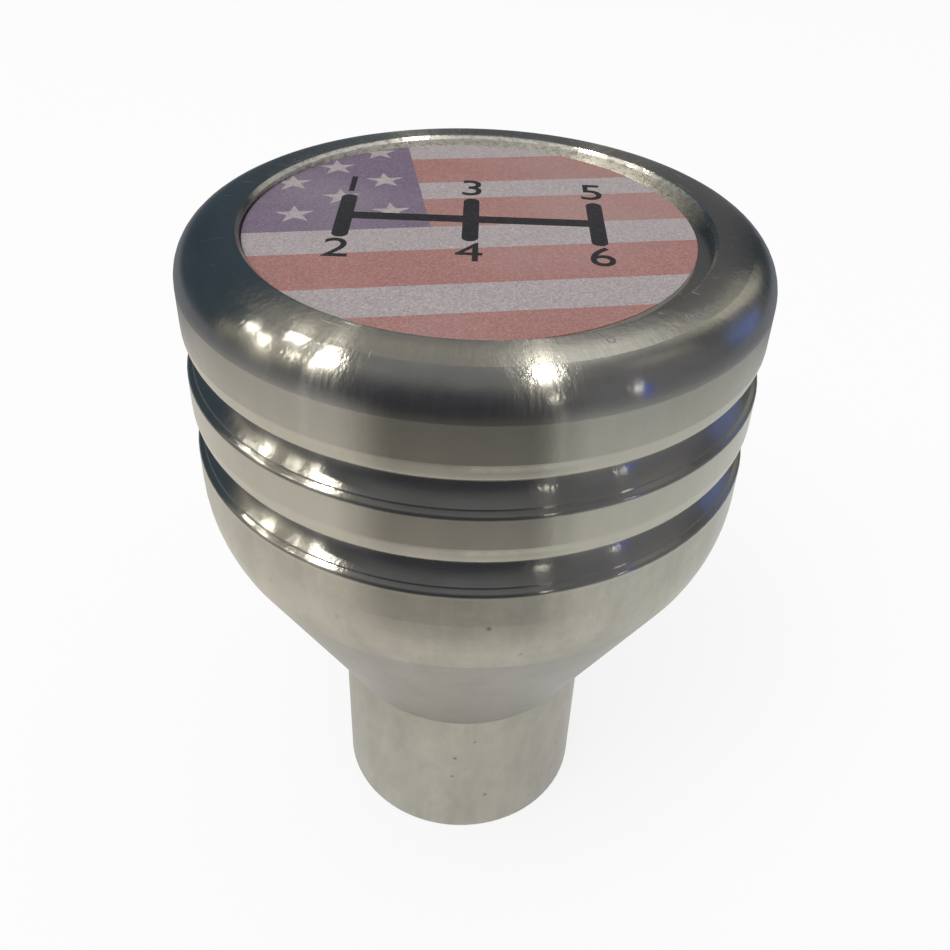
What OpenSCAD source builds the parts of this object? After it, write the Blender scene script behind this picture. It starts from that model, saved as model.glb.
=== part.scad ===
// A turned aluminium gear shift knob that stands on the flat end of its neck.
// The origin is the centre of that flat end, +Z runs up through the head, and +Y is the back.
// The whole knob is one turned piece. A printed round label lies in a shallow recess in its top,
// and two grub screws in the back of the neck clamp the knob to a plain round lever.

/* [Head] */
// Height from the foot to the top of the rim
knob_h = 67.6; // [62:0.1:76]
// Diameter of the head
head_d = 50.8; // [46:0.1:58]
// Width of the rim round the recess
rim_w = 5.3; // [4.7:0.1:8]
// Radius of the rim's outer edge
rim_round = 3.3; // [1.5:0.1:4.5]
// Radius of the crown on top of the rim
crown_r = 10; // [8:0.5:20]
// Width of the flat land round the recess
land_w = 0.2; // [0.1:0.1:0.8]
// Chamfer on the inner edge of the land
lip_break = 0.3; // [0.1:0.05:0.6]
// Depth of the recess
recess_depth = 1.2; // [0.8:0.1:3]

/* [Grooves] */
// Depth of the upper groove's rolled lip below the top of the rim
groove_drop = 8.75; // [7:0.05:12]
// Distance between the two grooves
groove_pitch = 7.75; // [6.5:0.05:9]
// Radius of the rolled lip above a groove
roll_r = 3; // [2:0.1:4]
// Height of the rolled lip
roll_h = 1.85; // [0.8:0.05:2.4]
// Radius of the cove that the groove is cut with
cove_r = 3.8; // [3.7:0.1:4.4]
// Distance of the cove's centre outside the side of the head
cove_out = 2; // [1.6:0.1:2.1]
// Height of the cove's centre above the rolled lip
cove_rise = 0.3; // [0:0.05:0.4]
// Height of the cove below the rolled lip
cove_h = 2.5; // [1.8:0.1:2.6]
// Radial width of the small step below the cove
step_w = 0.07; // [0.03:0.01:0.15]
// Fall of that step
step_h = 0.13; // [0.1:0.01:0.3]
// Slope of the bevel between the step and the side
bevel_angle = 28; // [10:1:40]
// Radius on the edge between the bevel and the side
edge_round = 0.4; // [0.1:0.05:0.5]

/* [Bowl and neck] */
// Height of the bowl's straight side below the lower groove
bowl_side_h = 3.3; // [1:0.1:6]
// Radius of the round below that side
bowl_round = 15; // [8:0.5:20]
// Angle that the round has turned through at the crease
bowl_angle = 23.5; // [14:0.5:26]
// Length of the straight run between the round and the crease
crease_run = 0.1; // [0.05:0.05:0.5]
// Diameter of the neck
neck_d = 26.2; // [23:0.1:32]
// Height of the neck
neck_h = 18.1; // [14:0.1:24]
// Radius in the corner between the cone and the neck
neck_round = 0.6; // [0.3:0.1:4]
// Radius on the outer edge of the foot
foot_round = 0.6; // [0.2:0.1:1.5]

/* [Lever fixing] */
// Diameter of the bore that slides over the lever
bore_d = 12.8; // [9.6:0.1:14.2]
// Depth of the bore, not counting the drill point
bore_depth = 38; // [24:0.5:40]
// Chamfer at the mouth of the bore
bore_break = 0.8; // [0.3:0.1:1.5]
// Angle of the drill point at the end of the bore
drill_angle = 118; // [90:1:140]
// Thread diameter of a grub screw
screw_d = 6; // [4:0.5:8]
// Clearance round a grub screw's thread
screw_gap = 0.05; // [0.02:0.01:0.1]
// Distance of a screw's tip outside the bore
tip_gap = 0.1; // [0.05:0.05:0.5]
// Distance of a screw's outer end inside the neck
screw_sink = 0.5; // [0.4:0.1:1.5]
// Width across the flats of a screw's hexagon socket
socket_af = 3; // [2:0.5:4]
// Depth of the hexagon socket
socket_depth = 3; // [1.5:0.1:4]
// Angle of each screw to either side of the back
screw_angle = 45; // [25:1:75]

/* [Label] */
// Gap between the recess wall and the label
label_gap = 0.75; // [0.7:0.05:1.2]
// Distance of the label's centre to the left of the knob's axis
label_shift = 0.62; // [0:0.01:0.7]
// Thickness of the label's backing film
film_t = 0.4; // [0.2:0.05:0.8]
// Thickness of the printed layer
print_t = 0.1; // [0.05:0.05:0.2]
// Turn of the striped print on the label
print_turn = 9.6; // [0:0.1:20]
// Distance of the blue field's right edge from the label's centre
field_x = 3.35; // [1:0.05:6]
// Distance between neighbouring columns of stars
star_dx = 4.15; // [3.6:0.01:6]
// Distance between neighbouring rows of stars
star_dy = 3.44; // [2.8:0.01:5]
// Radius of a star's points
star_r = 1.8; // [1:0.1:1.9]

/* [Shift pattern] */
// Distance between neighbouring gates of the pattern
gate_pitch = 10.8; // [8:0.1:12]
// Length of a gate to either side of the cross bar
gate_arm = 3.7; // [3:0.1:6]
// Width of the pattern's lines
gate_line = 1.4; // [0.8:0.1:2]
// Height of the cross bar above the label's centre
gate_y = 1.5; // [-4:0.1:5]

/* [Hidden] */
$fn = 96;
// Overshoot of a cutting tool past the face that it cuts
over = 1;

head_r = head_d / 2;
neck_r = neck_d / 2;
bore_r = bore_d / 2;
lip_r = head_r - rim_w;
recess_r = lip_r - lip_break;
label_r = recess_r - label_gap;
recess_z = knob_h - recess_depth;
print_z = recess_z + film_t;

// Slope at which the crown of the rim runs into its outer edge
crown_turn = asin((rim_w - land_w - rim_round) / (crown_r - rim_round));
// Where the slope at that point meets the flat land and the side of the head
crown_corner_r = lip_r + land_w + crown_r * tan(crown_turn / 2);
rim_corner_z = knob_h - crown_r + (crown_r - rim_round) * cos(crown_turn)
    + rim_round * tan((90 - crown_turn) / 2);

// Heights of the two rolled lips, which the grooves are measured from
groove_zs = [knob_h - groove_drop, knob_h - groove_drop - groove_pitch];
// Radius of the cove's lower end, and place of the step's lower end
cove_end_r = head_r + cove_out - sqrt(pow(cove_r, 2) - pow(cove_h + cove_rise, 2));
step_end = [cove_end_r + step_w, -cove_h - step_h];
// Depth below a rolled lip at which the bevel would meet the side
bevel_end = -step_end[1] + (head_r - step_end[0]) * tan(bevel_angle);

bowl_top_z = groove_zs[1] - bevel_end;
// Corner that the bowl's round takes off, and the crease below it
bowl_corner_z = bowl_top_z - bowl_side_h - bowl_round * tan(bowl_angle / 2);
bowl_run = bowl_round * tan(bowl_angle / 2) + crease_run;
crease = [head_r - bowl_run * sin(bowl_angle), bowl_corner_z - bowl_run * cos(bowl_angle)];
// Angle of the cone from the axis
cone_angle = atan((crease[0] - neck_r) / (crease[1] - neck_h));

screw_z = neck_h / 2;
screw_len = neck_r - screw_sink - bore_r - tip_gap;
screw_turns = [90 - screw_angle, 90 + screw_angle];

// Edges of the stripes on the print, from its centre, top to bottom: each red stripe lies
// between an even entry and the next, and the lowest one runs to the label's edge
stripe_ys = [15.5, 9.7, 6, 0.2, -4.1, -10.2, -14.8, -label_r - over];
// The lowest row of stars and the first column of them, from the field's corner
star_first = [3, 3.5];
star_rows = 5;
star_columns = 4;
// Inner points of a five-pointed star lie at this share of its radius
star_inner = 0.382;

// Sliver between a corner at the origin and the arc that rounds it. One side of the corner
// runs up, and the other leaves it turned from straight down by the angle turn, towards -X.
// The sliver overshoots both sides of the corner, so that no skin is left along them.
module corner_sliver(rad, turn) {
    tangent = rad * tan(turn / 2);
    difference() {
        polygon([[over, -over * tan(turn / 2)], [over, tangent], [-rad, tangent],
                 [over * cos(turn) - tangent * sin(turn),
                  -over * sin(turn) - tangent * cos(turn)]]);
        translate([-rad, tangent]) circle(rad);
    }
}

// Section of one groove, from the rolled lip above it to the rounded edge below it
module groove_section() {
    // Rolled lip
    translate([head_r - roll_r, 0]) difference() {
        square([roll_r + over, roll_h]);
        translate([0, roll_h]) circle(roll_r);
    }
    // Cove
    intersection() {
        translate([head_r + cove_out, cove_rise]) circle(cove_r);
        translate([head_r - cove_r, -cove_h]) square([cove_r + over, cove_h]);
    }
    // Step and bevel
    polygon([[cove_end_r, -cove_h], step_end, [head_r, -bevel_end], [head_r + over, -bevel_end],
             [head_r + over, -cove_h]]);
    translate([head_r, -bevel_end]) mirror([0, 1]) corner_sliver(edge_round, 90 - bevel_angle);
}

// Half section of the solid knob, before its grooves, recess and bore
module blank_section() {
    difference() {
        polygon([[0, 0], [neck_r, 0], [neck_r, neck_h], crease, [head_r, bowl_corner_z],
                 [head_r, rim_corner_z], [crown_corner_r, knob_h], [0, knob_h]]);
        translate([neck_r, 0]) corner_sliver(foot_round, 90);
        translate([head_r, bowl_corner_z]) corner_sliver(bowl_round, bowl_angle);
        translate([head_r, rim_corner_z]) mirror([0, 1]) corner_sliver(rim_round, 90 - crown_turn);
        translate([crown_corner_r, knob_h]) rotate(90) corner_sliver(crown_r, crown_turn);
    }
    translate([neck_r, neck_h]) rotate(180) corner_sliver(neck_round, cone_angle);
}

module recess_section() {
    translate([0, recess_z]) square([recess_r, recess_depth + over]);
    translate([0, knob_h]) polygon([[0, -lip_break], [recess_r, -lip_break],
                                    [recess_r + lip_break, 0], [0, 0]]);
}

module bore_section() {
    translate([0, -over]) square([bore_r, bore_depth + over]);
    polygon([[0, 0], [bore_r + bore_break, 0], [bore_r, bore_break], [0, bore_break]]);
    polygon([[0, bore_depth], [bore_r, bore_depth],
             [0, bore_depth + bore_r / tan(drill_angle / 2)]]);
}

// Places a child that lies along +X from the axis at each grub screw
module at_screws() {
    for (turn = screw_turns) translate([0, 0, screw_z]) rotate([0, 0, turn]) children();
}

module knob_body() {
    color([0.76, 0.75, 0.72]) difference() {
        rotate_extrude() difference() {
            blank_section();
            for (z = groove_zs) translate([0, z]) groove_section();
            recess_section();
            bore_section();
        }
        at_screws() rotate([0, 90, 0])
            cylinder(r = screw_d / 2 + screw_gap, h = neck_r + over);
    }
}

// Two grub screws, each with a hexagon socket and a chamfered tip
module grub_screws() {
    tip_cone = screw_d / 8;
    color([0.24, 0.24, 0.25]) at_screws() translate([bore_r + tip_gap, 0, 0]) rotate([0, 90, 0])
        difference() {
            union() {
                cylinder(r1 = screw_d / 2 - tip_cone, r2 = screw_d / 2, h = tip_cone, $fn = 48);
                translate([0, 0, tip_cone])
                    cylinder(r = screw_d / 2, h = screw_len - tip_cone, $fn = 48);
            }
            translate([0, 0, screw_len - socket_depth])
                cylinder(r = socket_af / sqrt(3), h = socket_depth + over, $fn = 6);
        }
}

// Round outline of the label, off the knob's axis as it was stuck on
module label_outline() {
    translate([-label_shift, 0]) circle(label_r);
}

// Puts a child drawn on the print's own axes in its place on the label
module on_print() {
    translate([-label_shift, 0]) rotate(print_turn) children();
}

// A flat layer of the print, as thick as the printed layer
module print_layer() {
    translate([0, 0, print_z]) linear_extrude(print_t) children();
}

module star() {
    polygon([for (i = [0:9]) let(r = (i % 2 == 0) ? star_r : star_r * star_inner)
        [r * cos(90 + 36 * i), r * sin(90 + 36 * i)]]);
}

// Stars of the blue field, in rows that are staggered by one column
module star_field() {
    for (row = [0:star_rows - 1], column = [0:star_columns - 1]) {
        place = [-field_x - star_first[0] - column * star_dx,
                 stripe_ys[3] + star_first[1] + row * star_dy];
        if ((row + column) % 2 == 0 && norm(place) < label_r) translate(place) star();
    }
}

module blue_outline() {
    translate([-field_x - 2 * label_r, stripe_ys[3]]) square(2 * label_r);
}

module red_outline() {
    for (i = [0:2:len(stripe_ys) - 2])
        translate([-2 * label_r, stripe_ys[i + 1]])
            square([4 * label_r, stripe_ys[i] - stripe_ys[i + 1]]);
}

// One line of the shift pattern between two points, with round ends
module pattern_line(from, to) {
    low = [min(from[0], to[0]), min(from[1], to[1])];
    size = [abs(to[0] - from[0]), abs(to[1] - from[1])];
    along_x = size[0] > size[1];
    translate(low - (along_x ? [0, gate_line / 2] : [gate_line / 2, 0]))
        square(size + (along_x ? [0, gate_line] : [gate_line, 0]));
    for (end = [from, to]) translate(end) circle(gate_line / 2);
}

// Three gates joined by a cross bar
module shift_pattern() {
    translate([-label_shift, gate_y]) {
        pattern_line([-gate_pitch, 0], [gate_pitch, 0]);
        for (x = [-gate_pitch, 0, gate_pitch]) pattern_line([x, -gate_arm], [x, gate_arm]);
    }
}

module blue_shape() {
    difference() {
        intersection() {
            label_outline();
            on_print() blue_outline();
        }
        on_print() star_field();
        shift_pattern();
    }
}

module red_shape() {
    difference() {
        intersection() {
            label_outline();
            on_print() red_outline();
        }
        on_print() blue_outline();
        shift_pattern();
    }
}

module label_film() {
    color([0.80, 0.80, 0.80]) translate([0, 0, recess_z]) linear_extrude(film_t) label_outline();
}

module print_black() {
    color([0.13, 0.13, 0.14]) print_layer() shift_pattern();
}

module print_blue() {
    color([0.47, 0.40, 0.52]) print_layer() blue_shape();
}

module print_red() {
    color([0.70, 0.42, 0.40]) print_layer() red_shape();
}

// The white stripes and the stars, wherever no other colour is printed
module print_white() {
    color([0.78, 0.76, 0.76]) print_layer() difference() {
        label_outline();
        blue_shape();
        red_shape();
        shift_pattern();
    }
}

knob_body();
grub_screws();
label_film();
print_white();
print_red();
print_blue();
print_black();
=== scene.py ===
"""Looks of a turned aluminium gear shift knob that stands on a pale studio floor.

The CAD model is the frame. This script gives every node its material, adds the numbers of the
shift pattern, and sets up the floor, the surroundings that the metal reflects, the lamps and the
camera. Everything is in metres. +Z runs up the knob's axis, and the camera looks from the side
of -Y.
"""

import math
from types import SimpleNamespace

import bpy
from mathutils import Matrix, Vector


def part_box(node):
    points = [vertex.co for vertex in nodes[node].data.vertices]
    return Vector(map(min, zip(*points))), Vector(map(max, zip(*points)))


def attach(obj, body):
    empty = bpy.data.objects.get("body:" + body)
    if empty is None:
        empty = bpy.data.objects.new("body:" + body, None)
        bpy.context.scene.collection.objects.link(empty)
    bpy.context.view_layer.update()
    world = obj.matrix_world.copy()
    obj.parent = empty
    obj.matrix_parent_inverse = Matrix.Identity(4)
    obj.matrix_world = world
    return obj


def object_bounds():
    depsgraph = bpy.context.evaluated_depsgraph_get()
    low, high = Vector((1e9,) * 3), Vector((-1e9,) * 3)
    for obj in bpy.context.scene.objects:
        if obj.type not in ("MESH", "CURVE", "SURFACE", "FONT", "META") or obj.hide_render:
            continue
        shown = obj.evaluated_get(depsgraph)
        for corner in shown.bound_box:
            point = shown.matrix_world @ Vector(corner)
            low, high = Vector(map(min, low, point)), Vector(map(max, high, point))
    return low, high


MM = 0.001

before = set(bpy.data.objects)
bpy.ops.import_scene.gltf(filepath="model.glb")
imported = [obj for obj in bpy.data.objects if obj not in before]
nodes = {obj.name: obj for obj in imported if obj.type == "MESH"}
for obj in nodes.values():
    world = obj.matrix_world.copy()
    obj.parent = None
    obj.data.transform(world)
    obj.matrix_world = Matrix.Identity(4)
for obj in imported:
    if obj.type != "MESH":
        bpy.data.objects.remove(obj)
cad_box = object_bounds()


# Camera, recovered from the photograph

IMAGE_SIZE = 950
FOCAL_PIXELS = 1047.8
SENSOR = 36.0
CLIP_START = 5 * MM
CAMERA_PLACE = Vector((0, -83.09, 104.24)) * MM
CAMERA_TURN = math.radians(-0.419)
CAMERA_DOWN = math.radians(37.521)
CAMERA_ROLL = math.radians(2.299)


def make_camera():
    data = bpy.data.cameras.new("camera")
    data.sensor_width = SENSOR
    data.lens = FOCAL_PIXELS * SENSOR / IMAGE_SIZE
    data.clip_start = CLIP_START
    camera = bpy.data.objects.new("camera", data)
    bpy.context.scene.collection.objects.link(camera)
    tilt = math.pi / 2 - CAMERA_DOWN
    camera.matrix_world = (
        Matrix.Translation(CAMERA_PLACE)
        @ Matrix.Rotation(CAMERA_TURN, 4, "Z")
        @ Matrix.Rotation(tilt, 4, "X")
        @ Matrix.Rotation(CAMERA_ROLL, 4, "Z")
    )
    bpy.context.scene.camera = camera


# Shader helpers


class Shader:
    """Builds the node tree of one material, node by node."""

    def __init__(self, name):
        self.material = bpy.data.materials.new(name)
        self.material.use_nodes = True
        self.tree = self.material.node_tree
        self.surface = self.tree.nodes["Principled BSDF"]

    def add(self, kind, settings=None, **inputs):
        """Adds a node. An input is a number, a colour or another node's output socket."""
        node = self.tree.nodes.new(kind)
        for key, value in (settings or {}).items():
            setattr(node, key, value)
        for key, value in inputs.items():
            self.feed(node.inputs[key.replace("_", " ")], value)
        return node

    def feed(self, socket, value):
        if isinstance(value, bpy.types.NodeSocket):
            self.tree.links.new(value, socket)
        else:
            socket.default_value = value

    def math(self, operation, *values, clamp=False):
        node = self.tree.nodes.new("ShaderNodeMath")
        node.operation = operation
        node.use_clamp = clamp
        for socket, value in zip(node.inputs, values):
            self.feed(socket, value)
        return node.outputs[0]

    def vector(self, operation, *values):
        node = self.tree.nodes.new("ShaderNodeVectorMath")
        node.operation = operation
        for socket, value in zip(node.inputs, values):
            self.feed(socket, value)
        return node.outputs["Value" if operation == "LENGTH" else "Vector"]

    def combine(self, x=0.0, y=0.0, z=0.0):
        return self.add("ShaderNodeCombineXYZ", X=x, Y=y, Z=z).outputs["Vector"]

    def split(self, vector):
        """The outputs X, Y and Z of a vector."""
        return self.add("ShaderNodeSeparateXYZ", Vector=vector).outputs

    def own_place(self):
        """Place in the object's own frame."""
        return self.add("ShaderNodeTexCoord").outputs["Object"]

    def drawn_out(self, place, share):
        """A place whose height counts only in part, so that a noise over it is drawn out upward."""
        return self.vector("MULTIPLY", place, (1, 1, share))

    def ramp(self, value, *steps):
        """A ramp of grey levels over a value. A step is a place and a level."""
        node = self.tree.nodes.new("ShaderNodeValToRGB")
        elements = node.color_ramp.elements
        while len(elements) < len(steps):
            elements.new(0.5)
        for element, (place, level) in zip(elements, steps):
            element.position = place
            element.color = (level, level, level, 1)
        self.feed(node.inputs["Fac"], value)
        return node.outputs["Color"]

    def spread(self, value, low, high, to_low, to_high, kind="LINEAR"):
        """Maps a value from one span to another, held at both ends."""
        node = self.add("ShaderNodeMapRange", {"interpolation_type": kind, "clamp": True})
        for socket, number in zip(node.inputs, (value, low, high, to_low, to_high)):
            self.feed(socket, number)
        return node.outputs["Result"]

    def fade(self, value, edge, kind="LINEAR"):
        """0 before an edge and 1 past it. An edge is where the change begins and where it ends."""
        return self.spread(value, *edge, 0.0, 1.0, kind)

    def level(self, share, low, high):
        """A number that goes from low to high as a share goes from 0 to 1."""
        return self.math("MULTIPLY_ADD", share, high - low, low)

    def vary(self, value, noise, amount):
        """Adds an amount of a noise to a value, up and down from the noise's middle."""
        return self.math("MULTIPLY_ADD", self.math("SUBTRACT", noise, 0.5), amount, value)

    def noise(self, place, scale, detail=2.0, roughness=0.5, depth=None):
        """Noise over a place, or over a place and a fourth number."""
        settings = {"noise_dimensions": "3D" if depth is None else "4D"}
        node = self.add("ShaderNodeTexNoise", settings, Vector=place, Scale=scale, Detail=detail)
        node.inputs["Roughness"].default_value = roughness
        if depth is not None:
            self.feed(node.inputs["W"], depth)
        return node.outputs["Fac"]

    def cells(self, place, scale, output="Distance"):
        node = self.add("ShaderNodeTexVoronoi", {"feature": "F1"}, Vector=place, Scale=scale)
        return node.outputs[output]

    def mix(self, share, first, second, blend="MIX"):
        """Mixes two colours."""
        node = self.add("ShaderNodeMix", {"data_type": "RGBA", "blend_type": blend})
        self.feed(node.inputs["Factor"], share)
        for name, value in (("A", first), ("B", second)):
            socket = next(s for s in node.inputs if s.name == name and s.type == "RGBA")
            self.feed(socket, (*value, 1) if isinstance(value, tuple) else value)
        return next(s for s in node.outputs if s.type == "RGBA")

    def bump(self, height, distance, strength=1.0, normal=None):
        node = self.add("ShaderNodeBump", Height=height, Distance=distance, Strength=strength)
        if normal is not None:
            self.feed(node.inputs["Normal"], normal)
        return node.outputs["Normal"]

    def glow(self, color, strength):
        return self.add("ShaderNodeEmission", Color=color, Strength=strength).outputs[0]

    def set(self, **inputs):
        for key, value in inputs.items():
            self.feed(self.surface.inputs[key.replace("_", " ")], value)

    def end_with(self, shader):
        """Makes a shader the material's surface, and keeps its own light out of the lamps."""
        self.tree.links.new(shader, self.tree.nodes["Material Output"].inputs["Surface"])
        self.material.cycles.emission_sampling = "NONE"


def mix_shaders(tree, share, first, second):
    node = tree.nodes.new("ShaderNodeMixShader")
    for socket, output in zip(node.inputs, (share, first, second)):
        tree.links.new(output, socket)
    return node.outputs[0]


def give_material(node_name, shader):
    """Puts a material into every material slot of a CAD node."""
    for slot in nodes[node_name].material_slots:
        slot.material = shader.material


# Turned metal

ALUMINIUM = (0.50, 0.483, 0.422)
TARNISHED = (0.40, 0.385, 0.34)
# Painted shade of the cone, as dark as the shadowed floor under the knob that it reflects
CONE_SHADE = (0.36, 0.355, 0.325)
DIRTY = (0.17, 0.16, 0.145)
RUBBED = (0.66, 0.65, 0.62)
# Painted sheen on the back of the recess wall, in place of the light that it reflects
WALL_SHEEN = (0.86, 0.83, 0.74)

# Edges of the finishes and of a painted shade. The bowl begins below the lower groove, the rim
# above the knob's straight side, and the cone, which has a painted shade, lies between the crease
# and the neck, all as heights
BOWL_EDGE = (48.2 * MM, 47.6 * MM)
RIM_EDGE = (64.05 * MM, 65.05 * MM)
CREASE_EDGE = (38.93 * MM, 38.73 * MM)
NECK_EDGE = (18.0 * MM, 18.3 * MM)
# Radii of the straight side, of the flatter land on the rim and of the recess wall, and the
# distance behind the axis from which that wall is rougher and has a painted sheen
SIDE_EDGE = (25.0 * MM, 25.3 * MM)
LAND_EDGE = (23.2 * MM, 22.2 * MM)
RECESS_EDGE = (20.12 * MM, 20.0 * MM)
BACK_WALL_EDGE = (2.0 * MM, 14.0 * MM)

# Heights of the rolled lips above the two grooves. From there are measured the edges between
# which a lip begins to roll and turns under, and those between which the cove's lower end turns up
LIP_ZS = (58.85 * MM, 51.10 * MM)
LIP_TOP = (1.5 * MM, 0.5 * MM)
LIP_FOOT = (0.1 * MM, 0.5 * MM)
COVE_TURN = (-0.9 * MM, -1.9 * MM)
COVE_FOOT = -2.51 * MM
# How much further up than in the solid the two face in their reflections
LIP_LIFT = 0.3
COVE_LIFT = 0.28

# Noises of the metal: scale per metre, detail and roughness
BLOTCH = (110, 4, 0.6)
MOTTLE = (520, 4, 0.65)
SMEAR = (260, 5, 0.65)
RIPPLE = (1050, 3, 0.6)
GRAIN = (6500, 2, 0.6)
FINE_MARKS = (5200, 3, 0.7)
BROAD_MARKS = (900, 2, 0.5)
# How much of a height counts in three of them, which are drawn out upward
MOTTLE_DRAWN = 0.7
SMEAR_DRAWN = 0.35
RIPPLE_DRAWN = 0.45
# Streaks: cells round the knob and per metre across them, detail and roughness. The brush marks
# and scratches run round the knob, and the comb marks and ticks across
BRUSH = (34, 3600, 2, 0.5)
COMB = (110, 350, 2, 0.6)
SCRATCH = (5, 2600, 2, 0.5)
TICK = (75, 420, 3, 0.6)

# Levels of the noises between which a mark appears
SCRATCH_LEVELS = (0.66, 0.72)
TICK_LEVELS = (0.67, 0.74)
# Spans: two levels of a noise, and the share that each of them becomes
SPECK_SPAN = (0.05, 0.16, 1.0, 0.0)
PATCH_SPAN = (0.55, 0.68, 0.0, 0.55)
STAIN_SPAN = (0.46, 0.75, 0.0, 0.22)
GRAIN_SPAN = (0.3, 0.7, 0.20, 0.0)
MOTTLE_SPAN = (0.42, 0.62, 0.0, 1.0)
BLOTCH_SPAN = (0.4, 0.7, 0.0, 0.4)
WALL_SHEEN_SPAN = (0.35, 0.65, 0.6, 1.0)
# Shares of the marks: off the land and on it, or above the bowl and on it
SCRATCH_SHARES = (0.03, 0.58)
TICK_SHARES = (0.1, 1.0)
DIRT_SHARES = (0.15, 0.9)
MOTTLE_SHARES = (0.10, 0.42)
RIPPLE_SHARES = (1.0, 0.3)
# Share of the ripple off the straight side and on it
RIPPLE_SIDE = (1.0, 0.35)
# Shares of the broad marks, the cone's painted shade and the wear in the colour
BROAD_SHARE = 0.14
CONE_SHADE_SHARE = 0.75
WEAR_SHARE = 0.7

# Small marks of use on the rim, as places and radii in millimetres: round dents and a nick
DENTS = (
    ((9.5, -19.3, 67.5), 0.30),
    ((15.7, -15.3, 67.5), 0.28),
    ((16.4, -14.9, 67.5), 0.22),
)
DENT_RIDGE = (0.04, 0.11)
NICK = ((17.3, -14.0, 67.4), 0.30)
NICK_SOFT = 0.12
NICK_SCALE = 1800.0
NICK_RAGGED = 0.5 * MM
# Dark specks below the rings, one by one and as scattered cells
SPECKS = (
    ((-0.4, -13.1, 12.4), 0.20),
    ((-0.7, -13.1, 9.3), 0.16),
    ((3.0, -12.7, 5.8), 0.22),
    ((1.6, -13.0, 15.1), 0.14),
    ((2.0, -25.3, 44.7), 0.20),
)
SPECK_SOFT = 0.08
SPECK_SHARE = 0.75
SPECK_CELLS = 420
SPECK_DRAWN = 0.8
SPECK_PATCHES = (160, 2)

SIDE_ROUGHNESS = 0.215
RIM_ROUGHNESS = 0.195
# What these add to the roughness, the first three of them up and down. The last is a span
BLOTCH_ROUGHNESS = 0.07
MARKS_ROUGHNESS = 0.06
COMB_ROUGHNESS = (0.04, 0.15)
BOWL_ROUGHNESS = 0.025
WEAR_ROUGHNESS = 0.22
SCRAPED_ROUGHNESS = (0.38, 0.60, 0.0, 0.34)
# How far the metal is taken away on the back of the recess wall, so that its painted sheen shows
WALL_SHEEN_METAL_SPAN = (0.35, 0.65, -0.28, -0.56)


def spot(s, place, centre, radius, soft):
    """1 inside a small ball and 0 outside it, with a soft edge."""
    away = s.vector("LENGTH", s.vector("SUBTRACT", place, Vector(centre) * MM))
    return s.spread(away, (radius - soft) * MM, (radius + soft) * MM, 1.0, 0.0, "SMOOTHSTEP")


def dent(s, place, centre, radius):
    """The raised edge of a small round dent."""
    away = s.vector("LENGTH", s.vector("SUBTRACT", place, Vector(centre) * MM))
    off = s.math("ABSOLUTE", s.math("SUBTRACT", away, radius * MM))
    return s.spread(off, DENT_RIDGE[0] * MM, DENT_RIDGE[1] * MM, 1.0, 0.0, "SMOOTHSTEP")


def turned_form(s):
    """A point on the turned form: its place, distance behind the axis, height, radius, direction
    from the axis, and place on the section, which is the same all the way round."""
    place = s.own_place()
    split = s.split(place)
    flat = s.vector("MULTIPLY", place, (1, 1, 0))
    radius = s.vector("LENGTH", flat)
    return SimpleNamespace(
        place=place,
        depth=split["Y"],
        height=split["Z"],
        radius=radius,
        around=s.vector("NORMALIZE", flat),
        section=s.combine(x=radius, z=split["Z"]),
    )


def finish_zones(s, form):
    """Where each finish, the cone's painted shade and the recess wall's painted sheen lie, from 0
    to 1.
    """
    rim = s.fade(form.height, RIM_EDGE)
    recess = s.math("MULTIPLY", s.fade(form.radius, RECESS_EDGE), rim)
    below_crease = s.fade(form.height, CREASE_EDGE)
    return SimpleNamespace(
        rim=rim,
        bowl=s.fade(form.height, BOWL_EDGE),
        land=s.math("MULTIPLY", s.fade(form.radius, LAND_EDGE), rim),
        back_wall=s.math("MULTIPLY", recess, s.fade(form.depth, BACK_WALL_EDGE)),
        cone=s.math("MULTIPLY", below_crease, s.fade(form.height, NECK_EDGE)),
    )


def streaks(s, form, along, across, detail, roughness):
    """Noise in streaks on the turned form, by cells round the knob and cells across them."""
    turn = s.vector("MULTIPLY", form.around, (along, along, along))
    row = s.vector("ADD", turn, s.combine(z=s.math("MULTIPLY", form.radius, across)))
    return s.noise(row, 1.0, detail, roughness, depth=s.math("MULTIPLY", form.height, across))


def metal_marks(s, form, zones):
    """The noises that the colour, roughness and normal share."""
    place = form.place
    ripple = s.noise(s.drawn_out(place, RIPPLE_DRAWN), *RIPPLE)
    ripple = s.math("MULTIPLY", ripple, s.level(zones.bowl, *RIPPLE_SHARES))
    ripple = s.math("MULTIPLY", ripple, s.spread(form.radius, *SIDE_EDGE, *RIPPLE_SIDE))
    return SimpleNamespace(
        blotch=s.noise(place, *BLOTCH),
        mottle=s.noise(s.drawn_out(place, MOTTLE_DRAWN), *MOTTLE),
        smear=s.noise(s.drawn_out(place, SMEAR_DRAWN), *SMEAR),
        fine=s.noise(form.section, *FINE_MARKS),
        broad=s.noise(form.section, *BROAD_MARKS),
        grain=s.noise(place, *GRAIN),
        ripple=ripple,
        brush=streaks(s, form, *BRUSH),
        comb=streaks(s, form, *COMB),
    )


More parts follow.
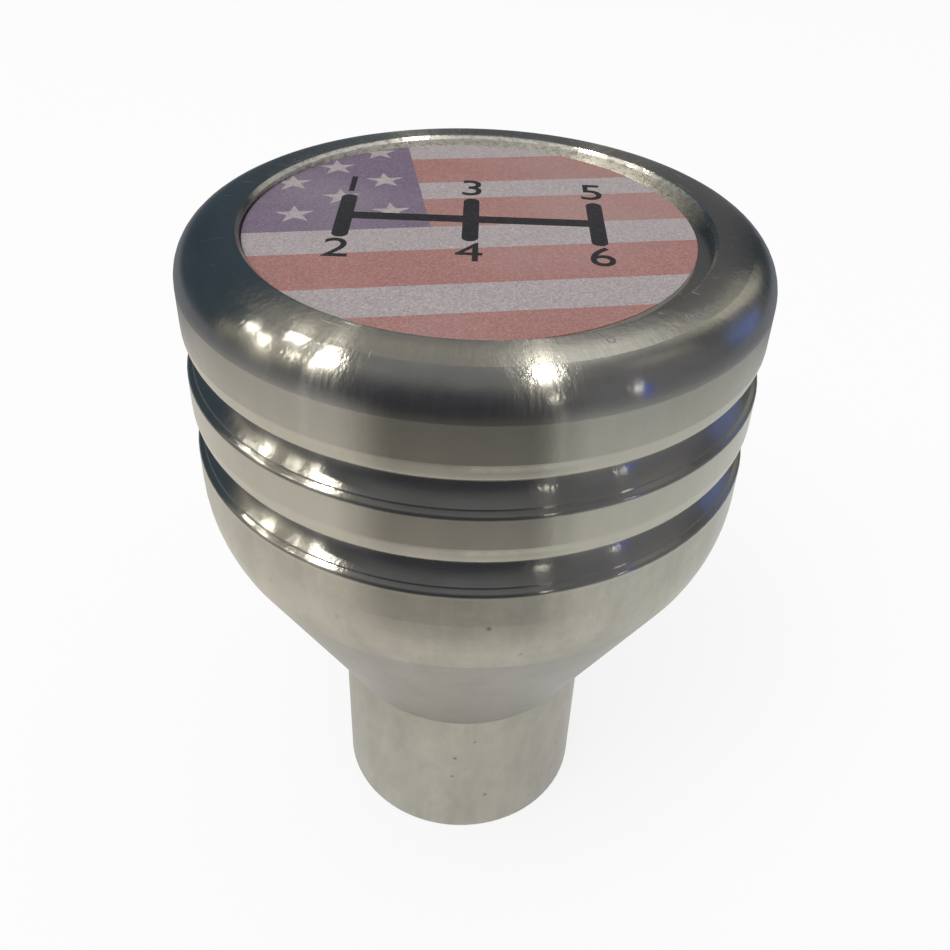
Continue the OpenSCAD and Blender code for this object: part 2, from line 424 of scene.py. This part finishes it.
def metal_wear(s, form, zones):
    """Long scratches and short ticks, most of them on the land, and the dents and the nick."""
    scratch = s.fade(streaks(s, form, *SCRATCH), SCRATCH_LEVELS)
    scratch = s.math("MULTIPLY", scratch, s.level(zones.land, *SCRATCH_SHARES))
    tick = s.fade(streaks(s, form, *TICK), TICK_LEVELS)
    tick = s.math("MULTIPLY", tick, s.level(zones.land, *TICK_SHARES))
    wear = s.math("MAXIMUM", scratch, tick)
    for centre, radius in DENTS:
        wear = s.math("MAXIMUM", wear, dent(s, form.place, centre, radius))
    shake = s.add("ShaderNodeTexNoise", Vector=form.place, Scale=NICK_SCALE).outputs["Color"]
    shake = s.vector("SUBTRACT", shake, (0.5, 0.5, 0.5))
    ragged = (NICK_RAGGED, NICK_RAGGED, NICK_RAGGED)
    nick_place = s.vector("MULTIPLY_ADD", shake, ragged, form.place)
    return s.math("MAXIMUM", wear, spot(s, nick_place, *NICK, NICK_SOFT))


def metal_dirt(s, form, zones, marks):
    """Stains and small dark specks, mostly below the rings."""
    cells = s.cells(s.drawn_out(form.place, SPECK_DRAWN), SPECK_CELLS)
    speck = s.spread(cells, *SPECK_SPAN)
    patches = s.spread(s.noise(form.place, *SPECK_PATCHES), *PATCH_SPAN)
    stain = s.spread(marks.smear, *STAIN_SPAN)
    dirt = s.math("ADD", s.math("MULTIPLY", speck, patches), stain)
    dirt = s.math("MULTIPLY", dirt, s.level(zones.bowl, *DIRT_SHARES), clamp=True)
    for centre, radius in SPECKS:
        dark = s.math("MULTIPLY", spot(s, form.place, centre, radius, SPECK_SOFT), SPECK_SHARE)
        dirt = s.math("MAXIMUM", dirt, dark)
    return dirt


def metal_color(s, zones, marks, dirt, wear):
    """Aluminium that is tarnished in fine and broad marks, with dirt and rubbed spots on it, a
    painted shade on the cone and a painted sheen on the back of the recess wall.
    """
    mottled = s.spread(marks.mottle, *MOTTLE_SPAN)
    back_wall = s.spread(marks.brush, *WALL_SHEEN_SPAN)
    tarnish = (
        s.math("MULTIPLY", marks.broad, BROAD_SHARE),
        s.spread(marks.grain, *GRAIN_SPAN),
        s.math("MULTIPLY", mottled, s.level(zones.bowl, *MOTTLE_SHARES)),
        s.math("MULTIPLY", zones.bowl, s.spread(marks.blotch, *BLOTCH_SPAN)),
    )
    color = ALUMINIUM
    for share in tarnish:
        color = s.mix(share, color, TARNISHED)
    # Painted shade on the cone
    color = s.mix(s.math("MULTIPLY", zones.cone, CONE_SHADE_SHARE), color, CONE_SHADE)
    # Painted sheen on the back of the recess wall
    color = s.mix(s.math("MULTIPLY", zones.back_wall, back_wall), color, WALL_SHEEN)
    color = s.mix(dirt, color, DIRTY)
    return s.mix(s.math("MULTIPLY", wear, WEAR_SHARE), color, RUBBED)


def metal_roughness(s, zones, marks, wear):
    """Polished rim, finely turned sides, satin bowl and neck."""
    rough = s.level(zones.rim, SIDE_ROUGHNESS, RIM_ROUGHNESS)
    rough = s.math("MULTIPLY_ADD", zones.bowl, BOWL_ROUGHNESS, rough)
    rough = s.vary(rough, marks.blotch, BLOTCH_ROUGHNESS)
    rough = s.vary(rough, marks.fine, MARKS_ROUGHNESS)
    rough = s.vary(rough, marks.comb, s.level(zones.rim, *COMB_ROUGHNESS))
    rough = s.math("MULTIPLY_ADD", wear, WEAR_ROUGHNESS, rough)
    back_wall = s.spread(marks.brush, *SCRAPED_ROUGHNESS)
    return s.math("MULTIPLY_ADD", zones.back_wall, back_wall, rough)


def groove_lift(s, form):
    """How much further up the rolled lips and the lower ends of the coves face."""
    lift = 0.0
    for lip_z in LIP_ZS:
        above = s.math("SUBTRACT", form.height, lip_z)
        lip = s.math("MULTIPLY", s.fade(above, LIP_TOP), s.fade(above, LIP_FOOT))
        on_cove = s.math("GREATER_THAN", above, COVE_FOOT)
        cove = s.math("MULTIPLY", s.fade(above, COVE_TURN, "SMOOTHSTEP"), on_cove)
        lift = s.math("MULTIPLY_ADD", lip, LIP_LIFT, lift)
        lift = s.math("MULTIPLY_ADD", cove, COVE_LIFT, lift)
    return lift


def metal_normal(s, form, marks, wear):
    """Turning marks, grain, brush marks, wear and the ripple of the polish, which makes the
    highlights ragged. A bump has its depth in millimetres and its strength."""
    bumps = (
        (marks.broad, 0.02, 0.08),
        (marks.fine, 0.006, 0.20),
        (marks.grain, 0.003, 0.15),
        (marks.brush, 0.006, 0.25),
        (wear, 0.015, 0.35),
        (marks.ripple, 0.02, 0.9),
    )
    normal = None
    for height, depth, strength in bumps:
        normal = s.bump(height, depth * MM, strength, normal)
    upward = s.combine(z=groove_lift(s, form))
    return s.vector("NORMALIZE", s.vector("ADD", normal, upward))


def turned_aluminium():
    """Turned metal: a polished rim and rings, a duller bowl and neck, turning marks and wear."""
    s = Shader("turned_aluminium")
    form = turned_form(s)
    zones = finish_zones(s, form)
    marks = metal_marks(s, form, zones)
    wear = metal_wear(s, form, zones)
    dirt = metal_dirt(s, form, zones, marks)
    wall_sheen_metal = s.spread(marks.brush, *WALL_SHEEN_METAL_SPAN)
    tangent = s.add("ShaderNodeTangent", {"direction_type": "RADIAL", "axis": "Z"})
    s.set(
        Base_Color=metal_color(s, zones, marks, dirt, wear),
        # Less metal on the back of the recess wall lets its painted sheen show
        Metallic=s.math("MULTIPLY_ADD", zones.back_wall, wall_sheen_metal, 1.0),
        Roughness=metal_roughness(s, zones, marks, wear),
        Anisotropic=1.0,
        Anisotropic_Rotation=0.25,
        Tangent=tangent.outputs["Tangent"],
        Normal=metal_normal(s, form, marks, wear),
    )
    return s


# Blackened steel

BLACK_STEEL = (0.045, 0.045, 0.05)
RUBBED_STEEL = (0.16, 0.155, 0.15)
STEEL_WEAR = (900, 4, 0.6)
RUBBED_SPAN = (0.55, 0.75, 0.0, 0.5)
STEEL_ROUGHNESS = (0.3, 0.7, 0.34, 0.5)


def black_steel():
    """Blackened steel of the grub screws."""
    s = Shader("black_steel")
    worn = s.noise(s.own_place(), *STEEL_WEAR)
    s.set(
        Base_Color=s.mix(s.spread(worn, *RUBBED_SPAN), BLACK_STEEL, RUBBED_STEEL),
        Metallic=0.9,
        Roughness=s.spread(worn, *STEEL_ROUGHNESS),
        Normal=s.bump(worn, 0.01 * MM, 0.3),
    )
    return s


# Label

FILM_HAZE = (0.40, 0.365, 0.35)
# Colour of each print, colour of its dark grains, and share of the film's haze over it
PRINTS = {
    "print_white": ((0.45, 0.39, 0.395), (0.29, 0.255, 0.26), 0.22),
    "print_red": ((0.41, 0.20, 0.18), (0.27, 0.14, 0.13), 0.24),
    "print_blue": ((0.21, 0.16, 0.225), (0.13, 0.10, 0.15), 0.2),
    "print_black": ((0.030, 0.029, 0.033), (0.017, 0.017, 0.019), 0.02),
    "label_film": ((0.52, 0.51, 0.50), (0.40, 0.39, 0.38), 0.1),
}
FILM_GRAIN = (4600, 2, 0.7)
FILM_CLOUD = (120, 4, 0.6)
FILM_DRIFT = (60, 3, 0.5)
FILM_CELLS = 7500
# Shift of the haze, so that it doesn't follow the clouds
DRIFT_SHIFT = (0.3, 0.1, 0.2)
# Spans of the grain, the clouds, the glints and the roughness, and the levels of the haze
SHADE_SPAN = (0.34, 0.64, 1.0, 0.0)
CLOUD_SPAN = (0.35, 0.7, 0.0, 0.25)
GLINT_SPAN = (0.80, 1.0, 0.0, 0.4)
FILM_ROUGHNESS = (0.3, 0.7, 0.45, 0.62)
HAZE_LEVELS = (0.42, 0.68)
# How much lighter than the print its painted glints are, as a factor and a sum
GLINT_GAIN = 1.35
GLINT_LIFT = 0.04


def laminate(name, color, shade, cloudy):
    """Printed label under a grainy, cloudy film with painted glints. Shade is the colour of its
    dark grains, and cloudy the share of the film's haze."""
    s = Shader(name)
    place = s.own_place()
    grain = s.noise(place, *FILM_GRAIN)
    cell = s.cells(place, FILM_CELLS, output="Color")
    glint = s.add("ShaderNodeSeparateColor", Color=cell).outputs["Red"]
    cloud = s.noise(place, *FILM_CLOUD)
    haze = s.noise(s.vector("ADD", place, DRIFT_SHIFT), *FILM_DRIFT)

    base = s.mix(s.spread(grain, *SHADE_SPAN), color, shade)
    base = s.mix(s.spread(cloud, *CLOUD_SPAN), base, shade)
    base = s.mix(s.spread(haze, *HAZE_LEVELS, 0.0, cloudy), base, FILM_HAZE)
    spark = tuple(min(1.0, c * GLINT_GAIN + GLINT_LIFT) for c in color)
    # Lighter cells are painted glints of the film
    base = s.mix(s.spread(glint, *GLINT_SPAN), base, spark)
    s.set(
        Base_Color=base,
        Roughness=s.spread(grain, *FILM_ROUGHNESS),
        Specular_IOR_Level=0.15,
        Normal=s.bump(grain, 0.02 * MM, 0.25),
    )
    return s


def dress_nodes():
    """Gives every CAD node its material and returns the prints' materials by name."""
    shaders = {name: laminate(name, *colors) for name, colors in PRINTS.items()}
    for name, shader in shaders.items():
        give_material(name, shader)
    give_material("knob_body", turned_aluminium())
    give_material("grub_screws", black_steel())
    return shaders


# Numbers of the shift pattern

# Distances of the gates from each other and of the numbers from the cross bar
GATE_PITCH = 10.8 * MM
NUMBER_RISE = 6.6 * MM
NUMBER_HEIGHT = 3.5 * MM
NUMBER_THICKNESS = 0.04 * MM
# Height of a digit as a share of the font's size
DIGIT_SHARE = 0.73


def make_number(digit, x, y, z, shader):
    curve = bpy.data.curves.new("number_%s" % digit, "FONT")
    curve.body = digit
    curve.align_x = "CENTER"
    curve.align_y = "CENTER"
    curve.size = NUMBER_HEIGHT / DIGIT_SHARE
    curve.extrude = NUMBER_THICKNESS / 2
    curve.materials.append(shader.material)
    number = bpy.data.objects.new("number_%s" % digit, curve)
    number.location = (x, y, z + NUMBER_THICKNESS / 2)
    bpy.context.scene.collection.objects.link(number)
    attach(number, "root")


def make_numbers(shader):
    """Numbers 1 to 6 at the ends of the printed gates, odd ones above and even ones below."""
    low, high = (Vector(corner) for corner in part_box("print_black"))
    middle = (low + high) / 2
    for digits, rise in (("135", NUMBER_RISE), ("246", -NUMBER_RISE)):
        for index, digit in enumerate(digits):
            x = middle.x + (index - 1) * GATE_PITCH
            make_number(digit, x, middle.y + rise, high.z, shader)


# Floor and surroundings

FLOOR_HALF = 3.0
FLOOR_WHITE = 0.93
# Share of the floor's white that is its own where it is seen
FLOOR_GLOW = 0.8
SURROUND_RADIUS = 1.0
SURROUND_RINGS = 16
SURROUND_TURNS = 48
PATH_OUTPUTS = ("Is Camera Ray", "Is Glossy Ray", "Is Transmission Ray")


def seen_ray(tree):
    """1 for the camera's rays and for reflected and refracted ones, 0 for those that carry
    light."""
    path = tree.nodes.new("ShaderNodeLightPath")
    share = path.outputs[PATH_OUTPUTS[0]]
    for name in PATH_OUTPUTS[1:]:
        either = tree.nodes.new("ShaderNodeMath")
        either.operation = "MAXIMUM"
        tree.links.new(share, either.inputs[0])
        tree.links.new(path.outputs[name], either.inputs[1])
        share = either.outputs[0]
    return share


def square_mesh(name, half):
    mesh = bpy.data.meshes.new(name)
    corners = [(-half, -half, 0), (half, -half, 0), (half, half, 0), (-half, half, 0)]
    mesh.from_pydata(corners, [], [(0, 1, 2, 3)])
    return mesh


def put_in(name, mesh, shader, z=0.0):
    """Puts a mesh with its material into the scene."""
    mesh.materials.append(shader.material)
    obj = bpy.data.objects.new(name, mesh)
    obj.location = (0, 0, z)
    bpy.context.scene.collection.objects.link(obj)
    return obj


def seen_only_in_metal(obj):
    """Hides a stage object from everything but reflections."""
    obj.visible_camera = False
    obj.visible_diffuse = False
    obj.visible_shadow = False


def make_floor():
    """White floor. A part of its white is its own, so that the shadow on it stays soft."""
    s = Shader("floor")
    white = (FLOOR_WHITE, FLOOR_WHITE, FLOOR_WHITE, 1)
    s.set(Base_Color=white, Roughness=1.0, Specular_IOR_Level=0.0)
    glow = s.glow((1, 1, 1, 1), 1.0)
    share = s.math("MULTIPLY", seen_ray(s.tree), FLOOR_GLOW)
    s.end_with(mix_shaders(s.tree, share, s.surface.outputs[0], glow))
    floor = put_in("floor", square_mesh("floor", FLOOR_HALF), s)


def bearing(s, split):
    """Azimuth in degrees: 0 on the camera's side, and positive to its right."""
    toward = s.math("MULTIPLY", split["Y"], -1.0)
    return s.math("DEGREES", s.math("ARCTAN2", split["X"], toward))


# What stands round the knob, as soft patches of a dome. Each has the azimuth and elevation of
# its middle, its half width and half height in degrees, its softness and its colour. Later ones
# lie over earlier ones.
OPEN_AIR = (0.135, 0.138, 0.155)
PATCHES = (
    (-60, 92, 400, 34, 0.5, (0.265, 0.275, 0.30)),
    (-140, 17, 42, 30, 0.4, (0.062, 0.092, 0.125)),
    (-10, 10, 40, 40, 0.4, (0.066, 0.069, 0.092)),
    (-8, 0, 34, 12, 0.6, (0.042, 0.044, 0.062)),
    (68, 20, 30, 30, 0.4, (0.20, 0.20, 0.235)),
    (61, 1, 2.2, 20, 0.4, (0.06, 0.16, 0.95)),
    (112, 13, 9, 14, 0.6, (0.20, 0.27, 0.60)),
    (142, 14, 14, 18, 0.4, (0.052, 0.066, 0.080)),
    (139, 35, 9, 14, 0.6, (0.85, 0.83, 0.75)),
    (175, 53, 24, 12, 0.5, (0.66, 0.64, 0.60)),
    (156, 57, 13, 12, 0.7, (1.30, 1.30, 1.28)),
    (98, 52, 12, 9, 0.7, (0.40, 0.395, 0.37)),
    (-162, 53, 20, 12, 0.6, (0.48, 0.46, 0.44)),
    (-80, 38, 10, 26, 0.8, (0.55, 0.53, 0.47)),
    (-97, 34, 5, 24, 0.8, (0.50, 0.48, 0.42)),
)
# Ragged edges, as trees and cars have: the noise, its shift for the elevation, and how many
# degrees it moves an edge sideways and upward
RAGGED = (7.0, 4, 0.6)
RAGGED_SHIFT = (3, 3, 3)
RAGGED_TURN = 12.0
RAGGED_RISE = 14.0
# Slow change of the dome's brightness
DRIFT = (4.5, 4)
DRIFT_SPAN = (0.3, 0.7, 0.80, 1.20)


def soft_patch(s, azimuth, elevation, middle, half, soft):
    """1 inside an oval patch of the dome and 0 outside it."""
    turn = s.math("WRAP", s.math("SUBTRACT", azimuth, middle[0]), 180.0, -180.0)
    across = s.math("DIVIDE", turn, half[0])
    upward = s.math("DIVIDE", s.math("SUBTRACT", elevation, middle[1]), half[1])
    squares = s.math("MULTIPLY_ADD", across, across, s.math("MULTIPLY", upward, upward))
    away = s.math("SQRT", squares)
    return s.spread(away, 1 - soft, 1 + soft, 1.0, 0.0, "SMOOTHSTEP")


def dome_mesh(name, radius, rings, turns):
    points = []
    for ring in range(rings):
        e = math.pi / 2 * ring / rings
        for turn in range(turns):
            a = 2 * math.pi * turn / turns
            point = (math.cos(a) * math.cos(e), math.sin(a) * math.cos(e), math.sin(e))
            points.append(tuple(radius * c for c in point))
    points.append((0, 0, radius))
    faces = []
    for ring in range(rings - 1):
        low, high = ring * turns, (ring + 1) * turns
        for turn in range(turns):
            after = (turn + 1) % turns
            faces.append((low + turn, low + after, high + after, high + turn))
    last = (rings - 1) * turns
    for turn in range(turns):
        faces.append((last + turn, last + (turn + 1) % turns, len(points) - 1))
    mesh = bpy.data.meshes.new(name)
    mesh.from_pydata(points, [], faces)
    return mesh


def make_surround():
    """Dome above the pale floor, which only the metal reflects, as it did the open air."""
    s = Shader("surround")
    way = s.vector("NORMALIZE", s.own_place())
    split = s.split(way)
    azimuth = bearing(s, split)
    elevation = s.math("DEGREES", s.math("ARCSINE", split["Z"]))
    azimuth = s.vary(azimuth, s.noise(way, *RAGGED), RAGGED_TURN)
    shifted = s.vector("ADD", way, RAGGED_SHIFT)
    elevation = s.vary(elevation, s.noise(shifted, *RAGGED), RAGGED_RISE)
    color = OPEN_AIR
    for turn, rise, half_width, half_height, soft, patch in PATCHES:
        half = (half_width, half_height)
        color = s.mix(soft_patch(s, azimuth, elevation, (turn, rise), half, soft), color, patch)
    drift = s.spread(s.noise(way, *DRIFT), *DRIFT_SPAN)
    s.end_with(s.glow(color, drift))
    mesh = dome_mesh("surround", SURROUND_RADIUS, SURROUND_RINGS, SURROUND_TURNS)
    dome = put_in("surround", mesh, s)
    seen_only_in_metal(dome)


# Brightness of the ground that the metal reflects, against the distance from the knob's axis in
# millimetres: to the sides, and in front under the lens
GROUND_REACH = 200
# Next to the foot the sides are darker, as a painted shadow of the knob
GROUND_SIDES = (
    (14, 0.60),
    (27, 0.70),
    (42, 0.98),
    (80, 0.98),
    (114, 0.98),
    (130, 0.27),
    (200, 0.25),
)
# In front the ground falls to a painted shadow under the lens, and next to the foot to a painted
# shadow of the knob
GROUND_FRONT = (
    (14, 0.70),
    (32, 1.06),
    (50, 1.04),
    (66, 0.62),
    (86, 0.36),
    (110, 0.15),
    (132, 0.06),
    (200, 0.06),
)
# Azimuth of the middle of the front, and how far to either side of it the front ends
FRONT_MIDDLE = -3.0
FRONT_EDGE = (22.0, 46.0)
# Noise that moves the ground's edges in and out, and by how many millimetres
GROUND_NOISE = (3.0, 3)
GROUND_RAGGED = 10.0
# Tints of the sheet on its left and right and of the ground beyond it, with the places in
# millimetres between which they change
LEFT_TINT = (1.03, 0.985, 0.915)
RIGHT_TINT = (0.93, 0.94, 0.90)
FAR_TINT = (0.92, 0.97, 1.12)
RIGHT_EDGE = (-40.0, 60.0)
FAR_EDGE = (122.0, 150.0)
# Azimuths of two lighter strips, painted across the sheet where the lamps would light it, their
# colour, and the angle over which they fade
GROUND_STRIPS = (-57.0, 30.0)
STRIP_COLOR = (1.0, 0.98, 0.93)
STRIP_FADE = (0.3, 2.6)
STRIP_SHARE = 0.22
# Distances between which the card comes in, next to the foot, and its share there
FOOT_EDGE = (14.0, 34.0)
FOOT_SHARE = 0.35
CARD_HEIGHT = 0.2 * MM


def ground_levels(s, share, levels):
    """Brightness of the ground against a distance, as a share of its reach."""
    return s.ramp(share, *((distance / GROUND_REACH, level) for distance, level in levels))


def make_ground_card():
    """Sheet on the floor that only the metal reflects: a pale sheet with a painted shadow next to
    the foot and in front, which ends in darker ground."""
    s = Shader("ground_card")
    place = s.vector("MULTIPLY", s.own_place(), (1 / MM, 1 / MM, 0))
    split = s.split(place)
    azimuth = bearing(s, split)
    noise = s.noise(s.vector("NORMALIZE", place), *GROUND_NOISE)
    reach = s.vary(s.vector("LENGTH", place), noise, GROUND_RAGGED)
    share = s.math("DIVIDE", reach, GROUND_REACH)
    off = s.math("ABSOLUTE", s.math("SUBTRACT", azimuth, FRONT_MIDDLE))
    ahead = s.spread(off, *FRONT_EDGE, 1.0, 0.0, "SMOOTHSTEP")
    sides = ground_levels(s, share, GROUND_SIDES)
    # Painted shadow in front and next to the foot
    level = s.mix(ahead, sides, ground_levels(s, share, GROUND_FRONT))
    tint = s.mix(s.fade(split["X"], RIGHT_EDGE, "SMOOTHSTEP"), LEFT_TINT, RIGHT_TINT)
    tint = s.mix(s.fade(reach, FAR_EDGE), tint, FAR_TINT)
    color = s.mix(1.0, level, tint, "MULTIPLY")
    # Painted strips of lamplight
    for strip in GROUND_STRIPS:
        near = s.math("ABSOLUTE", s.math("SUBTRACT", azimuth, strip))
        lit = s.spread(near, *STRIP_FADE, STRIP_SHARE, 0.0, "SMOOTHSTEP")
        color = s.mix(lit, color, STRIP_COLOR)
    cover = s.spread(reach, *FOOT_EDGE, FOOT_SHARE, 1.0)
    clear = s.add("ShaderNodeBsdfTransparent").outputs[0]
    s.end_with(mix_shaders(s.tree, cover, clear, s.glow(color, 1.0)))
    card = put_in("ground_card", square_mesh("ground_card", SURROUND_RADIUS), s, CARD_HEIGHT)
    seen_only_in_metal(card)


# Lamps

# Small bright lamps that the metal shows as highlights: azimuth, elevation, and glow, which is
# brightness times solid angle. Only the metal sees them.
GLINTS = {
    "glint_left": (-86, 58, 1.0),
    "glint_left_low": (-66, 38, 0.07),
    "glint_right": (104, 76, 0.8),
    "glint_right_low": (30, 26, 0.03),
    "glint_far_left": (-108, 40, 0.09),
    "glint_far_left_high": (-124, 54, 0.16),
    "glint_far_left_low": (-92, 36, 0.12),
    "glint_by_blue": (58, 12, 0.022),
    "glint_left_middle": (-78, 40, 0.05),
    "glint_left_lowest": (-84, 27, 0.012),
}
GLINT_SIZE = 30 * MM
GLINT_COLOR = (1.0, 0.97, 0.90)
LAMP_RADIUS = 0.6
KNOB_TOP_Z = cad_box[1][2]
# The lamp that lights everything but the metal
KEY_AZIMUTH = -35
KEY_ELEVATION = 58
KEY_RADIUS = 1.2
KEY_SIZE = 0.7
KEY_POWER = 5.2
# Strength of the world's even light
WORLD_LIGHT = 0.72


def direction(azimuth, elevation):
    """Unit vector. Azimuth 0 is the camera's side, and a positive one is to its right."""
    a, e = math.radians(azimuth), math.radians(elevation)
    return Vector((math.sin(a) * math.cos(e), -math.cos(a) * math.cos(e), math.sin(e)))


def make_lamp(name, place, target, size, power, color=(1, 1, 1)):
    """Square lamp that faces a target."""
    data = bpy.data.lights.new(name, "AREA")
    data.shape = "RECTANGLE"
    data.size = size
    data.size_y = size
    data.energy = power
    data.color = color
    lamp = bpy.data.objects.new(name, data)
    lamp.location = place
    lamp.rotation_euler = (Vector(target) - Vector(place)).to_track_quat("-Z", "Y").to_euler()
    lamp.visible_camera = False
    bpy.context.scene.collection.objects.link(lamp)
    return lamp


def make_lamps():
    middle = Vector((0, 0, KNOB_TOP_Z))
    for name, (azimuth, elevation, glow) in GLINTS.items():
        place = middle + direction(azimuth, elevation) * LAMP_RADIUS
        power = glow * LAMP_RADIUS ** 2 * math.pi
        glint = make_lamp(name, place, middle, GLINT_SIZE, power, GLINT_COLOR)
        glint.visible_diffuse = False
    key_place = direction(KEY_AZIMUTH, KEY_ELEVATION) * KEY_RADIUS
    key = make_lamp("key", key_place, (0, 0, 0), KEY_SIZE, KEY_POWER)
    key.visible_glossy = False


def make_world():
    """White background for the camera and for reflections, and a soft even light for the rest."""
    world = bpy.data.worlds.new("studio")
    world.use_nodes = True
    tree = world.node_tree
    light = tree.nodes["Background"]
    white = tree.nodes.new("ShaderNodeBackground")
    for background, strength in ((light, WORLD_LIGHT), (white, 1.0)):
        background.inputs["Color"].default_value = (1, 1, 1, 1)
        background.inputs["Strength"].default_value = strength
    mixed = mix_shaders(tree, seen_ray(tree), light.outputs[0], white.outputs[0])
    tree.links.new(mixed, tree.nodes["World Output"].inputs["Surface"])
    bpy.context.scene.world = world


make_camera()
shaders = dress_nodes()
make_numbers(shaders["print_black"])
make_floor()
make_surround()
make_ground_card()
make_lamps()
make_world()
bpy.context.scene.view_settings.view_transform = "Standard"
